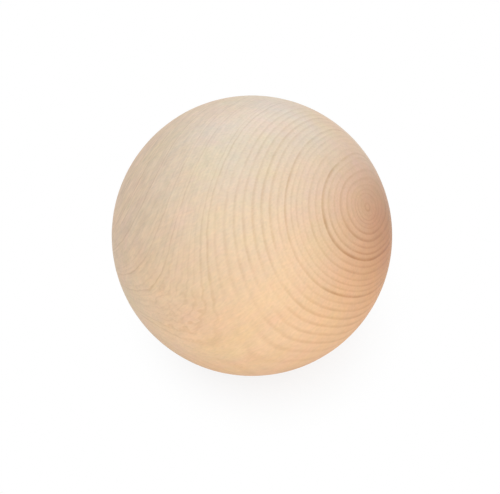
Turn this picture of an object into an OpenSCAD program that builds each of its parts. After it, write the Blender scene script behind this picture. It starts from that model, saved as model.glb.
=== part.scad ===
// Wooden ball
//
// A solid ball turned from one piece of pale softwood and left bare. It is
// round all over, with no bore, no flat and no joint. Millimetres, +Z up.
// The origin is the ball's centre.

/* [Ball] */
// Diameter of the finished ball
ball_d = 60; // [20:1:120]

/* [Hidden] */

// Bare sanded wood
wood_colour = [0.91, 0.82, 0.70];

// Facets round the ball in a preview
ball_facets = 128;

// The whole ball, centred on the origin
module ball() {
    color(wood_colour)
        sphere(d = ball_d, $fn = ball_facets);
}

ball();
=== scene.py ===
"""Looks of the wooden ball: a solid sphere turned from one piece of bare softwood.

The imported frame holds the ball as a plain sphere. Here it gets the surface of
the real thing. Growth says how the log ran that the ball was turned from,
LateWood which of its rings grew dark, and BareWood how the sanded surface
looks. The grain also gives the surface the low swell that sanding leaves in
it, at most about 0.02 mm high.
"""

import logging
import math
from dataclasses import dataclass
from enum import Enum

import bpy
import numpy as np
from mathutils import Matrix, Vector


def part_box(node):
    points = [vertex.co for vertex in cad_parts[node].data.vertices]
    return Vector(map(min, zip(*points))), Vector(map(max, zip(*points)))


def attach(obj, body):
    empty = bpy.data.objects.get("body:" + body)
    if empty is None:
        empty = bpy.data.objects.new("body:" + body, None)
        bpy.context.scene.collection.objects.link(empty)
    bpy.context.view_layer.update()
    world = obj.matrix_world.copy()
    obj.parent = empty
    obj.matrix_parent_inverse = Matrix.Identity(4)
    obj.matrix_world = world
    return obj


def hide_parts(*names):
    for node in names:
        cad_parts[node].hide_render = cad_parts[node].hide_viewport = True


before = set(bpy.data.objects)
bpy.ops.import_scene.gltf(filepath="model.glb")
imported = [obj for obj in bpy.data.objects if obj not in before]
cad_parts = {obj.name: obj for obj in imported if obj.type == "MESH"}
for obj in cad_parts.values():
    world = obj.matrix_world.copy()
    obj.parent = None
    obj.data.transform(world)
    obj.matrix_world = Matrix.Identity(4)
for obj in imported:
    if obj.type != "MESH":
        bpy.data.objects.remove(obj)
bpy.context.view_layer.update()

log = logging.getLogger("wooden_ball")

MM = 0.001
Socket = bpy.types.NodeSocket
Feed = Socket | float | int | tuple[float, ...]
Colour = tuple[float, float, float, float]
Points = tuple[tuple[float, float], ...]
Swing = tuple[float, float, float]
Across = tuple[float, float]
WHITE: Colour = (1.0, 1.0, 1.0, 1.0)


def on_screen(red: int, green: int, blue: int) -> Colour:
    """Turns a colour as a screen shows it into the linear one that nodes use.

    Args:
        red: The screen's red, 0 to 255.
        green: The screen's green, 0 to 255.
        blue: The screen's blue, 0 to 255.

    Returns:
        Linear red, green and blue, and an alpha of 1.
    """
    shares = (value / 255 for value in (red, green, blue))
    return *(x / 12.92 if x <= 0.04045 else ((x + 0.055) / 1.055) ** 2.4 for x in shares), 1.0


class TreeKind(Enum):
    """What a node tree is for, by Blender's name for such a tree."""

    SHAPE = "GeometryNodeTree"
    FINISH = "ShaderNodeTree"


class Sheet:
    """A node tree, with short calls that add a node and wire it up."""

    def __init__(self, tree: bpy.types.NodeTree) -> None:
        """Takes the tree to draw in."""
        self.tree = tree

    def add(self, kind: str, **settings: object) -> bpy.types.Node:
        """Adds one node.

        Args:
            kind: The node's type, as Blender names it.
            **settings: Properties of the node, by name.

        Returns:
            The new node.
        """
        node = self.tree.nodes.new(kind)
        for name, value in settings.items():
            setattr(node, name, value)
        return node

    def feed(self, socket: Socket, value: Feed) -> None:
        """Links a socket to another one, or writes a plain value on it.

        Args:
            socket: The socket that takes the value.
            value: The other socket, or the plain value.
        """
        if isinstance(value, Socket):
            self.tree.links.new(value, socket)
        else:
            socket.default_value = value

    def maths(self, operation: str, *values: Feed, clamp: bool = False) -> Socket:
        """Adds a Math node.

        Args:
            operation: What it does, such as ADD.
            *values: Its inputs in order, sockets or numbers.
            clamp: Whether the result is held between 0 and 1.

        Returns:
            The result.
        """
        node = self.add("ShaderNodeMath", operation=operation, use_clamp=clamp)
        for socket, value in zip(node.inputs, values):
            self.feed(socket, value)
        return node.outputs[0]

    def vector(self, operation: str, *values: Feed, scale: Feed | None = None) -> Socket:
        """Adds a Vector Math node.

        Args:
            operation: What it does, such as NORMALIZE.
            *values: Its vector inputs in order.
            scale: The factor of a SCALE.

        Returns:
            The result, which is a number for LENGTH and DOT_PRODUCT.
        """
        node = self.add("ShaderNodeVectorMath", operation=operation)
        for socket, value in zip(node.inputs, values):
            self.feed(socket, value)
        if scale is not None:
            self.feed(node.inputs["Scale"], scale)
        return node.outputs["Value" if operation in ("LENGTH", "DOT_PRODUCT") else "Vector"]

    def clouds(
        self, place: Feed, swing: Swing, detail: int = 0, roughness: float = 0.5, layer: Feed = 0.0
    ) -> bpy.types.Node:
        """Adds a Noise Texture node.

        Args:
            place: Where to read it.
            swing: How long one swing is along each axis, in the unit of place.
            detail: How many finer swings are laid over the first.
            roughness: How strong each finer swing is against the one before.
            layer: A fourth coordinate, over which the noise changes too.

        Returns:
            The node, whose outputs run from 0 to 1.
        """
        node = self.add("ShaderNodeTexNoise", noise_dimensions="4D")
        settings = {"Vector": self.vector("DIVIDE", place, swing), "W": layer, "Scale": 1.0}
        settings |= {"Detail": detail, "Roughness": roughness}
        for name, value in settings.items():
            self.feed(node.inputs[name], value)
        return node

    def noise(self, place: Feed, swing: Swing, detail: int = 0, layer: Feed = 0.0) -> Socket:
        """Adds smooth noise that swings evenly about zero, seldom past -1 and 1.

        Args:
            place: Where to read it.
            swing: How long one swing is along each axis, in the unit of place.
            detail: How many finer swings are laid over the first.
            layer: A fourth coordinate, over which the noise changes too.

        Returns:
            The noise.
        """
        stretch = 4.0
        clouds = self.clouds(place, swing, detail, layer=layer)
        return self.maths("MULTIPLY_ADD", clouds.outputs[0], stretch, -stretch / 2)

    def ease(self, value: Feed, low: Feed, high: Feed) -> Socket:
        """Adds a smooth step from 0 to 1.

        Args:
            value: The number that the step follows.
            low: Where value has to be for a result of 0.
            high: Where value has to be for a result of 1. It may lie below low.

        Returns:
            The result, held between 0 and 1.
        """
        node = self.add("ShaderNodeMapRange", interpolation_type="SMOOTHSTEP")
        for name, given in (("Value", value), ("From Min", low), ("From Max", high)):
            self.feed(node.inputs[name], given)
        return node.outputs["Result"]

    def mix(self, share: Feed, under: Feed, over: Feed, way: str = "MIX") -> Socket:
        """Adds a mix of two colours.

        Args:
            share: How much of the second colour counts, 0 to 1.
            under: The first colour.
            over: The second colour.
            way: How the second colour is laid on, such as MIX or MULTIPLY.

        Returns:
            The mixed colour.
        """
        node = self.add("ShaderNodeMix", data_type="RGBA", blend_type=way, clamp_factor=True)
        # The node's other sockets are for mixing numbers, vectors and turns.
        for socket, given in zip((node.inputs[0], node.inputs[6], node.inputs[7]), (share, under, over)):
            self.feed(socket, given)
        return node.outputs[2]

    def curve(self, value: Feed, points: Points) -> Socket:
        """Adds a smooth curve through points.

        Args:
            value: The number to look up.
            points: Pairs of a number and what it becomes, in rising order from 0.

        Returns:
            What value becomes.
        """
        widest = points[-1][0]
        highest = max(height for _, height in points)
        node = self.add("ShaderNodeFloatCurve")
        line = node.mapping.curves[0]
        while len(line.points) < len(points):
            # A new point starts in the middle, and the next loop moves it.
            line.points.new(0.5, 0.5)
        for spot, (across, height) in zip(line.points, points):
            spot.location = (across / widest, height / highest)
        node.mapping.update()
        self.feed(node.inputs["Value"], self.maths("DIVIDE", value, widest))
        return self.maths("MULTIPLY", node.outputs[0], highest)


@dataclass(frozen=True)
class Slope:
    """A smooth step in a number that follows another, such as the distance from the pith.

    Attributes:
        start: Where the other number is when the step begins.
        end: Where it is when the step is over, above or below start.
        amount: How much the step adds by then.
    """

    start: float
    end: float
    amount: float = 1.0

    def share(self, sheet: Sheet, along: Socket) -> Socket:
        """Works out how far up the step each point is, from 0 to 1."""
        return sheet.ease(along, self.start, self.end)

    def add_to(self, sheet: Sheet, along: Socket, value: Feed) -> Socket:
        """Adds the step to a number.

        Args:
            sheet: The tree to draw in.
            along: The number that the step follows.
            value: The number that it is added to.

        Returns:
            The sum.
        """
        return sheet.maths("MULTIPLY_ADD", self.share(sheet, along), self.amount, value)


@dataclass(frozen=True)
class Ripple:
    """Smooth random swings through the log.

    Attributes:
        swing: How long one swing is along each axis, in millimetres.
        detail: How many finer swings are laid over the first.
        depth: How much a swing adds or takes away.
    """

    swing: Swing
    detail: int
    depth: float

    def noise(self, sheet: Sheet, place: Feed, layer: Feed = 0.0) -> Socket:
        """Draws the swings about zero, seldom past -1 and 1, without their depth."""
        return sheet.noise(place, self.swing, self.detail, layer)

    def add_to(
        self, sheet: Sheet, place: Feed, value: Feed, share: Feed = 1.0, layer: Feed = 0.0
    ) -> Socket:
        """Adds the swings to a number.

        Args:
            sheet: The tree to draw in.
            place: The point from the pith, in millimetres.
            value: The number.
            share: How much of their depth counts.
            layer: A fourth coordinate, over which they change too.

        Returns:
            The sum.
        """
        depth = sheet.maths("MULTIPLY", share, self.depth)
        return sheet.maths("MULTIPLY_ADD", self.noise(sheet, place, layer), depth, value)


@dataclass(frozen=True)
# Also used for one patch of painted shade on the wood.
class Streak:
    """A streak or patch of different wood in the log. Lengths are in millimetres.

    Attributes:
        middle: Where its middle crosses the log, from the pith.
        reach: How far it reaches round its middle.
        height: Where its middle lies along the log.
        shortness: How soon it ends along the log, 0 for never and 1 for at its reach.
    """

    middle: Across
    reach: float
    height: float = 0.0
    shortness: float = 0.0

    def mask(self, sheet: Sheet, place: Socket) -> Socket:
        """Works out how strong the streak is at each point.

        Args:
            sheet: The tree to draw in.
            place: The point from the pith, in millimetres.

        Returns:
            From 1 along its middle to 0 past its reach.
        """
        apart = sheet.vector("SUBTRACT", place, (*self.middle, self.height))
        away = sheet.vector("LENGTH", sheet.vector("MULTIPLY", apart, (1.0, 1.0, self.shortness)))
        return sheet.ease(away, self.reach, 0.0)


@dataclass(frozen=True)
class Grain:
    """Where each point lies in the log, as sockets.

    Attributes:
        place: The point from the pith, in millimetres, with Z along the log.
        radius: How far out it grew, in millimetres.
        year: Which year it grew in, counted from the pith.
        season: How late in that year, from 0 in spring to 1 in winter.
        end_on: How squarely the ball's surface cuts the fibres, from 0 to 1.
    """

    place: Socket
    radius: Socket
    year: Socket
    season: Socket
    end_on: Socket


@dataclass(frozen=True)
class LateWood:
    """How dark the late wood of each year's ring grew. Lengths are in millimetres.

    Attributes:
        marked_years: Years whose late wood grew dark, each with how dark it is from 0 to 1.
        palest: How dark the palest of all other years could be.
        luck: How much darker chance may make another year.
        vigour: How much of that darkness the other years have.
        young: How much more of it the rings near the pith have.
        old: How much more of it the rings near the bark have.
        begins: The time of the year when the palest late wood begins.
        sooner: How much sooner the darkest late wood begins.
        full: The time of the year when it is at its darkest.
        ends: How it ends with the year.
        summer: How the wood between spring and late wood darkens.
        contrast: How much all late wood shows.
        outer: How much more it shows away from the pith.
        dark_side: Which way across the log it shows most, as it does under a leaning trunk.
        side_depth: How much more it shows on that side.
        side_by_pith: How much more than that near the pith.
        side_blur: How far round the pith the sides run into each other.
        quiet: The streak whose rings hardly show.
        quiet_loss: How much less they show there.
        curly_gain: How much more the rings show in the curly patch.
        fading: How each ring fades and comes back along its way.
    """

    marked_years: Points = (
        (0, 0.35), (2, 0.14), (3, 0.17), (4, 0.14), (5, 0.27), (6, 0.32), (7, 0.18), (8, 0.28), (9, 0.52),
        (10, 0.15), (11, 0.22), (12, 0.13), (13, 0.12), (14, 0.17), (15, 0.4), (17, 0.18), (18, 0.24),
        (20, 0.16), (21, 0.16), (24, 0.19), (31, 0.18), (35, 0.2), (43, 0.25), (49, 0.25), (54, 0.3),
    )
    palest: float = 0.05
    luck: float = 0.16
    vigour: float = 0.5
    young: Slope = Slope(26.0, 20.0, 0.5)
    old: Slope = Slope(37.0, 44.0, 1.0)
    begins: float = 0.55
    sooner: float = 0.5
    full: float = 0.78
    ends: Slope = Slope(1.0, 0.82)
    summer: Slope = Slope(0.0, 0.35, 0.04)
    contrast: float = 1.25
    outer: Slope = Slope(10.0, 17.0, 0.38)
    dark_side: Across = (0.09, -0.996)
    side_depth: float = 0.25
    side_by_pith: Slope = Slope(18.0, 7.0, 0.25)
    side_blur: float = 1.0
    quiet: Streak = Streak((-19.0, -11.0), 12.0)
    quiet_loss: float = 1.4
    curly_gain: float = 1.3
    fading: Ripple = Ripple((4.0, 4.0, 8.0), 3, 0.7)

    def strength(self, sheet: Sheet, grain: Grain) -> Socket:
        """Works out how dark each year's late wood is at its darkest.

        Args:
            sheet: The tree to draw in.
            grain: Where in the log each point lies.

        Returns:
            The darkness, from 0 to 1.
        """
        chance = sheet.add("ShaderNodeTexWhiteNoise", noise_dimensions="1D")
        sheet.feed(chance.inputs["W"], grain.year)
        strength = sheet.maths("MULTIPLY_ADD", chance.outputs["Value"], self.luck, self.palest)
        vigour = self.young.add_to(sheet, grain.radius, self.vigour)
        vigour = self.old.add_to(sheet, grain.radius, vigour)
        strength = sheet.maths("MULTIPLY", strength, vigour)
        half_year = 0.5
        for year, darkness in self.marked_years:
            this_year = sheet.maths("COMPARE", grain.year, year, half_year)
            strength = sheet.maths("MAXIMUM", strength, sheet.maths("MULTIPLY", this_year, darkness))
        return strength

    def showing(self, sheet: Sheet, grain: Grain, curly: Streak) -> Socket:
        """Works out how much of its darkness the late wood shows at each point of a ring.

        Args:
            sheet: The tree to draw in.
            grain: Where in the log each point lies.
            curly: The patch whose grain curls.

        Returns:
            About 1, and less where the rings fade.
        """
        towards = sheet.vector("DOT_PRODUCT", grain.place, (*self.dark_side, 0.0))
        side = sheet.maths("DIVIDE", towards, sheet.maths("ADD", grain.radius, self.side_blur))
        side_depth = self.side_by_pith.add_to(sheet, grain.radius, self.side_depth)
        showing = self.outer.add_to(sheet, grain.radius, self.contrast)
        showing = sheet.maths("MULTIPLY_ADD", side, side_depth, showing)
        for streak, gain in ((self.quiet, -self.quiet_loss), (curly, self.curly_gain)):
            showing = sheet.maths("MULTIPLY_ADD", streak.mask(sheet, grain.place), gain, showing)
        return self.fading.add_to(sheet, grain.place, showing, layer=grain.year)

    def mask(self, sheet: Sheet, grain: Grain, curly: Streak) -> Socket:
        """Works out how dark the late wood makes each point.

        Args:
            sheet: The tree to draw in.
            grain: Where in the log each point lies.
            curly: The patch whose grain curls.

        Returns:
            From 0 in pale spring wood to 1 in the darkest late wood.
        """
        strength = self.strength(sheet, grain)
        begins = sheet.maths("MULTIPLY_ADD", strength, -self.sooner, self.begins)
        darkening = sheet.ease(grain.season, begins, self.full)
        band = sheet.maths("MULTIPLY", darkening, self.ends.share(sheet, grain.season))
        band = sheet.maths("MULTIPLY", band, strength)
        summer = self.summer.add_to(sheet, grain.season, 0.0)
        return sheet.maths("MULTIPLY_ADD", band, self.showing(sheet, grain, curly), summer, clamp=True)


@dataclass(frozen=True)
class Growth:
    """How the log grew that the ball was turned from. Lengths are in millimetres.

    The log's own frame has Z along the pith. With no roll its X runs down and across, and its Y is level.

    Attributes:
        heading_deg: Which way the log points over the floor, from +X towards +Y.
        tilt_deg: How far the log rises from the floor.
        roll_deg: How far the log is rolled about its pith.
        pith: Where the pith passes the ball's centre, across the log.
        oval: How much wider the rings are along X and narrower along Y.
        lean: How much sooner the rings come towards X and Y, as a share of the distance.
        taper: How much later the rings come along the log, as a share for each millimetre.
        bends: The rings' slow bends.
        waves: The rings' small waves.
        wavy: Where the small waves come in, going out.
        curls: How the rings curl in the curly patch.
        curly: The patch whose grain curls.
        broad_side: Which way across the log the rings grew broader.
        broadening: How much farther out they lie there, and over which distance from the pith that comes.
        broad_overlap: How far that side reaches past a quarter turn, as the sine of the angle.
        broad_blur: How far round the pith the sides run into each other.
        ring_ages: Distances from the pith, each with the age of the log when it was that thick.
        late_wood: How dark the late wood grew.
    """

    heading_deg: float = 14.2
    tilt_deg: float = 43.3
    roll_deg: float = 12.8
    pith: Across = (-1.1, -10.3)
    oval: float = 0.917
    lean: Across = (0.033, 0.02)
    taper: float = -0.012
    bends: Ripple = Ripple((14.0, 14.0, 40.0), 0, 0.2)
    waves: Ripple = Ripple((1.8, 1.8, 3.0), 2, 0.09)
    wavy: Slope = Slope(8.0, 28.0)
    curls: Ripple = Ripple((2.0, 2.0, 3.0), 1, 0.55)
    curly: Streak = Streak((-24.5, -4.5), 12.0, -8.0, 1.0)
    broad_side: Across = (0.87, 0.5)
    broadening: Slope = Slope(0.0, 9.0, 1.5)
    broad_overlap: float = 0.1
    broad_blur: float = 0.5
    ring_ages: Points = (
        (0, 0), (1.4, 1.85), (2.0, 2.85), (2.5, 3.85), (3.1, 4.85), (3.9, 5.85), (4.9, 6.85), (7.5, 9.85),
        (10.2, 12.85), (12.5, 15.85), (15.55, 18.85), (18.9, 21.85), (22, 24.85), (25, 29.85), (28.3, 35.85),
        (32.5, 43.85), (38, 54.85), (56, 91),
    )
    late_wood: LateWood = LateWood()

    def turn(self) -> tuple[float, float, float]:
        """Works out how the log is turned in the ball.

        Returns:
            The turn, as Euler angles in radians.
        """
        from_upright = math.radians(90 - self.tilt_deg)
        turned = (
            Matrix.Rotation(math.radians(self.heading_deg), 3, "Z")
            @ Matrix.Rotation(from_upright, 3, "Y")
            @ Matrix.Rotation(math.radians(self.roll_deg), 3, "Z")
        )
        return tuple(turned.to_euler())

    def even_radius(self, sheet: Sheet, place: Socket) -> Socket:
        """Works out how far out each point grew, if no ring were bent or broad.

        Args:
            sheet: The tree to draw in.
            place: The point from the pith, in millimetres.

        Returns:
            The distance from the pith, in millimetres.
        """
        oval = sheet.vector("LENGTH", sheet.vector("MULTIPLY", place, (self.oval, 1 / self.oval, 0.0)))
        leaned = sheet.maths("ADD", oval, sheet.vector("DOT_PRODUCT", place, (*self.lean, 0.0)))
        along = sheet.vector("DOT_PRODUCT", place, (0.0, 0.0, 1.0))
        return sheet.maths("MULTIPLY", leaned, sheet.maths("MULTIPLY_ADD", along, self.taper, 1.0))

    def bend(self, sheet: Sheet, place: Socket, radius: Socket) -> Socket:
        """Bends the rings.

        Args:
            sheet: The tree to draw in.
            place: The point from the pith, in millimetres.
            radius: How far out it grew.

        Returns:
            How far out it grew, in millimetres, with the rings' bends, waves and curls.
        """
        radius = self.bends.add_to(sheet, place, radius)
        radius = self.waves.add_to(sheet, place, radius, self.wavy.share(sheet, radius))
        return self.curls.add_to(sheet, place, radius, self.curly.mask(sheet, place))

    def broaden(self, sheet: Sheet, place: Socket, radius: Socket) -> Socket:
        """Moves the rings out on their broad side, most of all straight towards it.

        Args:
            sheet: The tree to draw in.
            place: The point from the pith, in millimetres.
            radius: How far out it grew.

        Returns:
            How far out it grew, in millimetres, with the rings broader on that side.
        """
        towards = sheet.vector("DOT_PRODUCT", place, (*self.broad_side, 0.0))
        facing = sheet.maths("DIVIDE", towards, sheet.maths("ADD", radius, self.broad_blur))
        facing = sheet.maths("MAXIMUM", sheet.maths("ADD", facing, self.broad_overlap), 0.0)
        broad = sheet.maths("POWER", facing, 2.0)
        swelling = self.broadening.add_to(sheet, radius, 0.0)
        return sheet.maths("SUBTRACT", radius, sheet.maths("MULTIPLY", broad, swelling))

    def grain(self, sheet: Sheet, position: Feed) -> Grain:
        """Works out where in the log a position lies.

        Args:
            sheet: The tree to draw in.
            position: The point, in metres.

        Returns:
            Its place in the log.
        """
        turn = sheet.add("ShaderNodeVectorRotate", rotation_type="EULER_XYZ", invert=True)
        sheet.feed(turn.inputs["Vector"], sheet.vector("SCALE", position, scale=1 / MM))
        sheet.feed(turn.inputs["Rotation"], self.turn())
        in_log = turn.outputs[0]
        place = sheet.vector("SUBTRACT", in_log, (*self.pith, 0.0))
        radius = self.bend(sheet, place, self.even_radius(sheet, place))
        radius = self.broaden(sheet, place, radius)
        age = sheet.curve(radius, self.ring_ages)
        straight_on = sheet.vector("DOT_PRODUCT", sheet.vector("NORMALIZE", in_log), (0.0, 0.0, 1.0))
        end_on = sheet.maths("ABSOLUTE", straight_on)
        return Grain(place, radius, sheet.maths("FLOOR", age), sheet.maths("FRACT", age), end_on)


@dataclass(frozen=True)
class BareWood:
    """The finish of sanded softwood with no oil or lacquer on it. Lengths are in millimetres.

    Attributes:
        slot: The record's material slot that it stands for.
        pale_wood_cool_lit: The cooler, paler wood on one side of the log, partly its own tone and partly
            painted light, the cool light that falls on that side from above.
        warm_wood_warm_lit: The warmer wood on the other side, partly its own tone and partly painted warm
            light from below.
        pale_cool_lit_towards: Which way across the log the paler wood and its painted cool light lie.
        pale_cool_lit_from: Where it begins to take over that way, from the pith.
        pale_cool_lit_to: Where it has taken over.
        rind: The filter that the outermost wood lays over both.
        rind_from: Where that wood comes in, going out.
        stains_and_shade: Streaks of other colour, each with the filter that it lays over the rest; the
            second is painted shade, not a stain.
        late: The filter that the late wood lays over the rest.
        end_grain: The filter that the cut ends of the fibres lay over the rest.
        end_on: How squarely the fibres have to be cut for it, as the cosine of the angle.
        fibres: The fibres, with how much they darken and lighten the wood.
        mottle: The mottling, with how much it darkens and lightens the wood near the pith.
        mottle_layer: How far out another layer of mottling begins.
        mottle_in_rind: How much stronger it is in the outermost wood.
        calm: Where the wood next to the bark calms down, and by how much.
        tint_swing: How long one swing of the tint is along each axis.
        tint_detail: How many finer swings are laid over the first.
        tint_roughness: How strong each finer swing is against the one before.
        tint_depth: How far the tint moves red, green and blue.
        roughness: How rough the wood is.
        late_smoothness: How much less rough the late wood is, as it is denser.
        mottle_roughness: How much the mottling changes the roughness.
        specular: How much of the light the surface throws back unscattered.
        relief: How far the late wood stands out, in metres.
        fibre_relief: How far the fibres stand out, as a share of that.
    """

    slot: str = "bare_wood"
    pale_wood_cool_lit: Colour = on_screen(232, 218, 199)
    warm_wood_warm_lit: Colour = on_screen(237, 200, 159)
    pale_cool_lit_towards: Across = (0.13, 0.99)
    pale_cool_lit_from: float = -15.0
    pale_cool_lit_to: float = 21.0
    rind: Colour = (0.98, 0.82, 0.70, 1.0)
    rind_from: Slope = Slope(17.0, 42.0)
    stains_and_shade: tuple[tuple[Streak, Colour], ...] = (
        (Streak((8.0, -4.0), 28.0), (0.72, 0.52, 0.43, 1.0)),
        # Painted shade: a grey darkening over the limb beside the pith, standing in for the side of the ball
        # turned away from the lamps.
        (Streak((11.0, 1.0), 17.0), (0.88, 0.89, 0.92, 1.0)),
        (Streak((3.0, 22.0), 13.0), (1.0, 0.88, 0.78, 1.0)),
        (Streak((-15.0, 23.0), 11.0), (1.09, 1.05, 1.03, 1.0)),
    )
    late: Colour = (0.71, 0.61, 0.50, 1.0)
    end_grain: Colour = (0.90, 0.87, 0.85, 1.0)
    end_on: Slope = Slope(0.32, 1.0)
    fibres: Ripple = Ripple((0.4, 0.4, 1.4), 2, 0.055)
    mottle: Ripple = Ripple((2.5, 2.5, 4.0), 3, 0.04)
    mottle_layer: float = 0.6
    mottle_in_rind: float = 0.09
    calm: Slope = Slope(38.0, 46.0, -0.09)
    tint_swing: Swing = (6.0, 6.0, 14.0)
    tint_detail: int = 4
    tint_roughness: float = 0.8
    tint_depth: tuple[float, float, float] = (0.20, 0.16, 0.32)
    roughness: float = 0.62
    late_smoothness: float = 0.2
    mottle_roughness: float = 0.03
    specular: float = 0.2
    relief: float = 0.01 * MM
    fibre_relief: float = 0.2

    def grain_group(self, growth: Growth) -> bpy.types.NodeTree:
        """Builds the node group that draws the wood's masks.

        Args:
            growth: How the log grew.

        Returns:
            The group. It takes a position in metres.
        """
        tree = bpy.data.node_groups.new("grain of the log", TreeKind.FINISH.value)
        tree.interface.new_socket("Position", in_out="INPUT", socket_type="NodeSocketVector")
        for name in ("Late wood", "Pale and cool-lit side", "Rind", "Calm", "End grain", "Fibre", "Mottle"):
            tree.interface.new_socket(name, in_out="OUTPUT", socket_type="NodeSocketFloat")
        for name in ("Stains and shade", "Tint"):
            tree.interface.new_socket(name, in_out="OUTPUT", socket_type="NodeSocketColor")
        sheet = Sheet(tree)
        given = sheet.add("NodeGroupInput")
        taken = sheet.add("NodeGroupOutput").inputs
        grain = growth.grain(sheet, given.outputs["Position"])
        sheet.feed(taken["Late wood"], growth.late_wood.mask(sheet, grain, growth.curly))
        # Partly painted light: how far each point lies towards the pale side, which stands in part for cool
        # light from above.
        across = sheet.vector("DOT_PRODUCT", grain.place, (*self.pale_cool_lit_towards, 0.0))
        width = self.pale_cool_lit_to - self.pale_cool_lit_from
        pale = sheet.maths("MULTIPLY_ADD", across, 1 / width, -self.pale_cool_lit_from / width, clamp=True)
        sheet.feed(taken["Pale and cool-lit side"], pale)
        # The stains include one patch of painted shade, a grey darkening beside the pith.
        stained_and_shaded = WHITE
        for streak, wash in self.stains_and_shade:
            stained_and_shaded = sheet.mix(streak.mask(sheet, grain.place), stained_and_shaded, wash, "MULTIPLY")
        sheet.feed(taken["Stains and shade"], stained_and_shaded)
        sheet.feed(taken["Rind"], self.rind_from.share(sheet, grain.radius))
        sheet.feed(taken["Calm"], self.calm.share(sheet, grain.radius))
        sheet.feed(taken["End grain"], self.end_on.share(sheet, grain.end_on))
        sheet.feed(taken["Fibre"], self.fibres.noise(sheet, grain.place))
        layer = sheet.maths("DIVIDE", grain.radius, self.mottle_layer)
        sheet.feed(taken["Mottle"], self.mottle.noise(sheet, grain.place, layer))
        tint = sheet.clouds(grain.place, self.tint_swing, self.tint_detail, self.tint_roughness)
        sheet.feed(taken["Tint"], tint.outputs["Color"])
        return tree

    def colour(self, sheet: Sheet, masks: bpy.types.bpy_prop_collection) -> Socket:
        """Lays the wood's colours over one another.

        Args:
            sheet: The material's tree.
            masks: The outputs of the grain's group.

        Returns:
            The colour of the wood.
        """
        # Painted light in part: the pale side is partly cool light from above and the warm side partly warm
        # light from below, laid into the wood's colour.
        colour = sheet.mix(masks["Pale and cool-lit side"], self.warm_wood_warm_lit, self.pale_wood_cool_lit)
        colour = sheet.mix(masks["Rind"], colour, self.rind, "MULTIPLY")
        # Lays on the stains and one patch of painted shade beside the pith.
        colour = sheet.mix(1.0, colour, masks["Stains and shade"], "MULTIPLY")
        colour = sheet.mix(masks["End grain"], colour, self.end_grain, "MULTIPLY")
        colour = sheet.mix(masks["Late wood"], colour, self.late, "MULTIPLY")
        unrest = sheet.maths("MULTIPLY_ADD", masks["Rind"], self.mottle_in_rind, self.mottle.depth)
        unrest = sheet.maths("MULTIPLY_ADD", masks["Calm"], self.calm.amount, unrest)
        speckle = sheet.maths("MULTIPLY_ADD", masks["Mottle"], unrest, 1.0)
        speckle = sheet.maths("MULTIPLY_ADD", masks["Fibre"], self.fibres.depth, speckle)
        untinted = tuple(1 - depth / 2 for depth in self.tint_depth)
        tint = sheet.vector("MULTIPLY_ADD", masks["Tint"], self.tint_depth, untinted)
        return sheet.vector("SCALE", sheet.vector("MULTIPLY", colour, tint), scale=speckle)

    def make(self, growth: Growth) -> bpy.types.Material:
        """Makes the material.

        Args:
            growth: How the log grew.

        Returns:
            The material.
        """
        material = bpy.data.materials.new(self.slot)
        material.use_nodes = True
        sheet = Sheet(material.node_tree)
        shader = material.node_tree.nodes["Principled BSDF"].inputs
        wood = sheet.add("ShaderNodeGroup", node_tree=self.grain_group(growth))
        sheet.feed(wood.inputs["Position"], sheet.add("ShaderNodeTexCoord").outputs["Object"])
        masks = wood.outputs
        sheet.feed(shader["Base Color"], self.colour(sheet, masks))
        rough = sheet.maths("MULTIPLY_ADD", masks["Late wood"], -self.late_smoothness, self.roughness)
        rough = sheet.maths("MULTIPLY_ADD", masks["Mottle"], self.mottle_roughness, rough)
        sheet.feed(shader["Roughness"], rough)
        shader["Specular IOR Level"].default_value = self.specular
        bump = sheet.add("ShaderNodeBump")
        bump.inputs["Distance"].default_value = self.relief
        relief = sheet.maths("MULTIPLY_ADD", masks["Fibre"], self.fibre_relief, masks["Late wood"])
        sheet.feed(bump.inputs["Height"], relief)
        sheet.feed(shader["Normal"], bump.outputs["Normal"])
        return material


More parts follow.
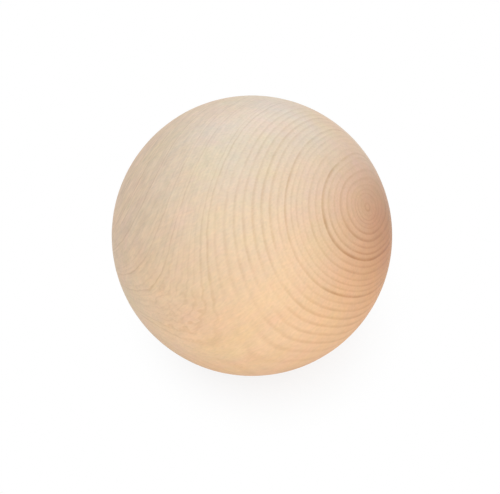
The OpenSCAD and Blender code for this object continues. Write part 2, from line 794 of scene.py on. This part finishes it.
@dataclass
class WoodenBall:
    """The ball: a cube grid rounded to a sphere, with a low swell along the grain.

    Attributes:
        growth: How its log grew.
        finish: The finish of its surface.
        radius: Its radius, in metres.
        grid: How many faces each side of the cube grid has along an edge.
        swell: How harder and softer wood stand out and in after sanding, with a depth in metres.
        map_margin: How much of its sixth of the map each side leaves free at an edge.
    """

    growth: Growth
    finish: BareWood
    radius: float
    grid: int = 128
    swell: Ripple = Ripple((4.0, 4.0, 12.0), 1, 0.015 * MM)
    map_margin: float = 0.004

    @classmethod
    def from_frame(cls, node: str, growth: Growth, finish: BareWood) -> "WoodenBall":
        """Takes the ball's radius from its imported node, whose height is exact.

        Args:
            node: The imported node.
            growth: How the ball's log grew.
            finish: The finish of its surface.

        Returns:
            The ball, not yet built.
        """
        low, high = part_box(node)
        return cls(growth, finish, (high.z - low.z) / 2)

    def surface_tree(self) -> bpy.types.NodeTree:
        """Builds the node tree that makes the ball's surface.

        Returns:
            The tree, with the ball's sizes and its material as named inputs.
        """
        tree = bpy.data.node_groups.new("turned surface", TreeKind.SHAPE.value)
        tree.is_modifier = True
        sockets = (
            ("Geometry", "NodeSocketGeometry"),
            ("Radius", "NodeSocketFloat"),
            ("Grid", "NodeSocketInt"),
            ("Swell", "NodeSocketFloat"),
            ("Wood", "NodeSocketMaterial"),
        )
        for name, kind in sockets:
            tree.interface.new_socket(name, in_out="INPUT", socket_type=kind)
        tree.interface.new_socket("Geometry", in_out="OUTPUT", socket_type="NodeSocketGeometry")
        sheet = Sheet(tree)
        given = sheet.add("NodeGroupInput").outputs
        cube = sheet.add("GeometryNodeMeshCube")
        cube.inputs["Size"].default_value = (2.0, 2.0, 2.0)
        for name in ("Vertices X", "Vertices Y", "Vertices Z"):
            sheet.feed(cube.inputs[name], sheet.maths("ADD", given["Grid"], 1))
        # The cube reaches from -1 to 1, and the tangent spaces its grid evenly round the ball.
        on_cube = sheet.add("GeometryNodeInputPosition").outputs[0]
        even = sheet.vector("TANGENT", sheet.vector("SCALE", on_cube, scale=math.pi / 4))
        outward = sheet.vector("NORMALIZE", even)
        on_ball = sheet.vector("SCALE", outward, scale=given["Radius"])
        grain = self.growth.grain(sheet, on_ball)
        height = sheet.maths("MULTIPLY", self.swell.noise(sheet, grain.place), given["Swell"])
        shaped = sheet.vector("ADD", on_ball, sheet.vector("SCALE", outward, scale=height))
        place = sheet.add("GeometryNodeSetPosition")
        sheet.feed(place.inputs["Geometry"], cube.outputs["Mesh"])
        sheet.feed(place.inputs["Position"], shaped)
        smooth = sheet.add("GeometryNodeSetShadeSmooth")
        sheet.feed(smooth.inputs["Geometry"], place.outputs["Geometry"])
        real = sheet.add("GeometryNodeRealizeInstances")
        sheet.feed(real.inputs["Geometry"], smooth.outputs["Geometry"])
        dressed = sheet.add("GeometryNodeSetMaterial")
        sheet.feed(dressed.inputs["Geometry"], real.outputs["Geometry"])
        sheet.feed(dressed.inputs["Material"], given["Wood"])
        sheet.feed(sheet.add("NodeGroupOutput").inputs["Geometry"], dressed.outputs["Geometry"])
        return tree

    def build(self) -> bpy.types.Object:
        """Makes the ball as one plain mesh object at the origin, in its finish.

        Returns:
            The ball.
        """
        ball = bpy.data.objects.new("turned_ball", bpy.data.meshes.new("turned_ball"))
        bpy.context.scene.collection.objects.link(ball)
        surface = ball.modifiers.new("surface", "NODES")
        surface.node_group = self.surface_tree()
        wood = self.finish.make(self.growth)
        sizes = {"Radius": self.radius, "Grid": self.grid, "Swell": self.swell.depth, "Wood": wood}
        for socket in surface.node_group.interface.items_tree:
            if socket.in_out == "INPUT" and socket.name in sizes:
                surface[socket.identifier] = sizes[socket.name]
        depsgraph = bpy.context.evaluated_depsgraph_get()
        ball.data = bpy.data.meshes.new_from_object(ball.evaluated_get(depsgraph), depsgraph=depsgraph)
        ball.modifiers.clear()
        self.lay_out_map(ball.data)
        return ball

    def lay_out_map(self, mesh: bpy.types.Mesh) -> None:
        """Gives each side of the cube grid an even sixth of the square map, three across and two up.

        Args:
            mesh: The ball's mesh, which gets the map.
        """
        face_corners = 4
        vertex = np.empty(len(mesh.loops), np.int32)
        mesh.loops.foreach_get("vertex_index", vertex)
        places = np.empty(len(mesh.vertices) * 3)
        mesh.vertices.foreach_get("co", places)
        corners = places.reshape(-1, 3)[vertex]
        centres = corners.reshape(-1, face_corners, 3).mean(1).repeat(face_corners, 0)
        axis = np.abs(centres).argmax(1)
        rows = np.arange(len(axis))
        depth = np.abs(corners[rows, axis])
        across = np.arctan2(corners[rows, (axis + 1) % 3], depth) / (math.pi / 2) + 0.5
        up = np.arctan2(corners[rows, (axis + 2) % 3], depth) / (math.pi / 2) + 0.5
        behind = centres[rows, axis] < 0
        across = np.where(behind, 1 - across, across)
        places_on_map = np.empty((len(axis), 2))
        filled = 1 - 2 * self.map_margin
        places_on_map[:, 0] = (axis + self.map_margin + filled * across) / 3
        places_on_map[:, 1] = (behind + self.map_margin + filled * up) / 2
        layer = mesh.uv_layers.new(name="OFBake")
        layer.uv.foreach_set("vector", places_on_map.astype(np.float32).ravel())

    def place(self) -> bpy.types.Object:
        """Builds the ball and sets it in the frame in place of the plain sphere.

        Returns:
            The ball.
        """
        ball = self.build()
        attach(ball, "root")
        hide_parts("ball")
        log.info("%s: %d faces", ball.name, len(ball.data.polygons))
        return ball


def direction(azimuth_deg: float, elevation_deg: float) -> Vector:
    """Works out the way from the ball to a place round it.

    Args:
        azimuth_deg: Where the place lies round the ball, 0 in front and 90 on the right.
        elevation_deg: How high it lies.

    Returns:
        The way there, one long.
    """
    azimuth, elevation = math.radians(azimuth_deg), math.radians(elevation_deg)
    level = math.cos(elevation)
    return Vector((math.sin(azimuth) * level, -math.cos(azimuth) * level, math.sin(elevation)))


@dataclass(frozen=True)
class SoftBox:
    """A square soft lamp that faces the ball.

    Attributes:
        name: Its name.
        azimuth_deg: Where it stands round the ball, 0 in front and 90 on the right.
        elevation_deg: How high it stands.
        level: How bright a white surface that faces it would be.
        warmth: Its colour.
        distance: How far from the ball's centre it hangs, in metres.
        width: How long its sides are, in metres.
    """

    name: str
    azimuth_deg: float
    elevation_deg: float
    level: float
    warmth: tuple[float, float, float] = (1.0, 1.0, 1.0)
    distance: float = 0.6
    width: float = 0.45

    def hang(self) -> bpy.types.Object:
        """Hangs the lamp, facing the origin.

        Returns:
            The lamp.
        """
        data = bpy.data.lights.new(self.name, "AREA")
        data.size = self.width
        data.color = self.warmth
        data.energy = self.level * (math.pi * self.distance) ** 2
        lamp = bpy.data.objects.new(self.name, data)
        bpy.context.scene.collection.objects.link(lamp)
        lamp.location = direction(self.azimuth_deg, self.elevation_deg) * self.distance
        lamp.rotation_euler = lamp.location.to_track_quat("Z", "Y").to_euler()
        return lamp


@dataclass(frozen=True)
class Studio:
    """The plain pale studio round the ball.

    Attributes:
        radius: The ball's radius, in metres.
        lamps: Its soft lamps.
        daylight: How bright the room is all round.
        daylight_colour: The colour of that light, a little bluer than the lamps.
        shade_right: How far right of the ball the floor's shade lies, in radii of the ball.
        shade_reach: How far the shade reaches from its middle, in radii of the ball.
        shade_core: How far from its middle the shade is at its deepest, in radii of the ball.
        shade_depth: How much shade it takes right under the ball, from 0 to 1.
        floor_size: How long the floor's sides are, in metres.
        floor_grey: How much light the floor throws back on the ball, from 0 to 1.
        camera_elevation_deg: How far above level the camera stands.
        lens_mm: The focal length of its lens.
        ball_share: How much of the picture's width the ball takes.
        ball_right: How far right of the middle it sits, as a share of the picture's width.
        ball_up: How far above the middle it sits, as a share of the picture's width.
        nearest: How close to the camera things can still be seen, as a share of its distance.
    """

    radius: float
    lamps: tuple[SoftBox, ...]
    daylight: float = 0.72
    daylight_colour: Colour = (0.935, 1.0, 1.065, 1.0)
    shade_right: float = 0.13
    shade_reach: float = 1.18
    shade_core: float = 0.4
    shade_depth: float = 0.27
    floor_size: float = 6.0
    floor_grey: float = 0.85
    camera_elevation_deg: float = 58.0
    lens_mm: float = 90.0
    ball_share: float = 0.561
    ball_right: float = 0.004
    ball_up: float = 0.0226
    nearest: float = 0.01

    def seen(self, sheet: Sheet) -> Socket:
        """Adds a mask of what is only looked at and throws no light on the ball.

        Args:
            sheet: The tree to draw in.

        Returns:
            1 for what the camera, a reflection or a clear body shows, 0 for the rest.
        """
        path = sheet.add("ShaderNodeLightPath").outputs
        shown = sheet.maths("MAXIMUM", path["Is Camera Ray"], path["Is Glossy Ray"])
        return sheet.maths("MAXIMUM", shown, path["Is Transmission Ray"])

    def light_room(self) -> None:
        """Lights the room evenly, and shows it white."""
        world = bpy.data.worlds.new("pale room")
        bpy.context.scene.world = world
        world.use_nodes = True
        sheet = Sheet(world.node_tree)
        world.node_tree.nodes.clear()
        glow = sheet.add("ShaderNodeBackground")
        glow.inputs["Color"].default_value = self.daylight_colour
        glow.inputs["Strength"].default_value = self.daylight
        white = sheet.add("ShaderNodeBackground")
        white.inputs["Color"].default_value = WHITE
        either = sheet.add("ShaderNodeMixShader")
        for socket, given in zip(either.inputs, (self.seen(sheet), glow.outputs[0], white.outputs[0])):
            sheet.feed(socket, given)
        sheet.feed(sheet.add("ShaderNodeOutputWorld").inputs["Surface"], either.outputs[0])

    def lay_floor(self) -> bpy.types.Object:
        """Lays the pale floor under the ball.

        Returns:
            The floor.
        """
        half = self.floor_size / 2
        mesh = bpy.data.meshes.new("floor")
        corners = [(-half, -half, 0), (half, -half, 0), (half, half, 0), (-half, half, 0)]
        mesh.from_pydata(corners, [], [(0, 1, 2, 3)])
        floor = bpy.data.objects.new("floor", mesh)
        floor.location.z = -self.radius
        bpy.context.scene.collection.objects.link(floor)
        mesh.materials.append(self.floor_paper())
        return floor

    def floor_paper(self) -> bpy.types.Material:
        """Makes the floor's white paper, which takes the ball's shade round where the ball stands.

        Returns:
            The material.
        """
        paper = bpy.data.materials.new("white paper")
        paper.use_nodes = True
        sheet = Sheet(paper.node_tree)
        paper.node_tree.nodes.clear()
        matt = sheet.add("ShaderNodeBsdfDiffuse")
        matt.inputs["Color"].default_value = (self.floor_grey, self.floor_grey, self.floor_grey, 1.0)
        white = sheet.add("ShaderNodeEmission")
        on_floor = sheet.add("ShaderNodeTexCoord").outputs["Object"]
        # Painted shadow in part: a soft disc set a little right of the ball's foot, where the camera sees
        # the floor's matt shading, and so the ball's real shadow, instead of plain white. The disc dims the
        # floor a little even where no shadow falls.
        middle = (self.shade_right * self.radius, 0.0, 0.0)
        away = sheet.vector("LENGTH", sheet.vector("SUBTRACT", on_floor, middle))
        shade = sheet.ease(away, self.shade_reach * self.radius, self.shade_core * self.radius)
        plain = sheet.maths("MULTIPLY_ADD", shade, -self.shade_depth, 1.0)
        share = sheet.maths("MULTIPLY", self.seen(sheet), plain)
        either = sheet.add("ShaderNodeMixShader")
        for socket, given in zip(either.inputs, (share, matt.outputs[0], white.outputs[0])):
            sheet.feed(socket, given)
        sheet.feed(sheet.add("ShaderNodeOutputMaterial").inputs["Surface"], either.outputs[0])
        return paper

    def set_camera(self) -> bpy.types.Object:
        """Sets the camera high in front, aimed so that the ball sits a little above the middle.

        Returns:
            The camera.
        """
        data = bpy.data.cameras.new("camera")
        data.lens = self.lens_mm
        half_angle = math.atan(self.ball_share * data.sensor_width / 2 / self.lens_mm)
        distance = self.radius / math.sin(half_angle)
        data.clip_start = distance * self.nearest
        camera = bpy.data.objects.new("camera", data)
        bpy.context.scene.collection.objects.link(camera)
        back = direction(0, self.camera_elevation_deg)
        camera.location = back * distance
        camera.rotation_euler = back.to_track_quat("Z", "Y").to_euler()
        data.shift_x = -self.ball_right
        data.shift_y = -self.ball_up
        bpy.context.scene.camera = camera
        return camera

    def set_up(self) -> None:
        """Sets the camera, lights the room, lays the floor and hangs the lamps."""
        self.set_camera()
        self.light_room()
        self.lay_floor()
        for lamp in self.lamps:
            lamp.hang()
        bpy.context.scene.view_settings.view_transform = "Standard"
        log.info("studio: %d lamps, camera at %.0f degrees", len(self.lamps), self.camera_elevation_deg)


def main() -> None:
    """Builds the ball and its studio."""
    logging.basicConfig(level=logging.INFO, format="%(name)s: %(message)s")
    ball = WoodenBall.from_frame("ball", Growth(), BareWood())
    ball.place()
    lamps = (
        SoftBox("front", azimuth_deg=5, elevation_deg=20, level=0.22, warmth=(1.15, 1.0, 0.85)),
        SoftBox("right", azimuth_deg=75, elevation_deg=40, level=0.225, warmth=(1.1, 1.0, 0.9)),
        SoftBox("back", azimuth_deg=180, elevation_deg=55, level=0.21, warmth=(0.935, 1.0, 1.065)),
    )
    Studio(ball.radius, lamps).set_up()


if __name__ == "__main__":
    main()
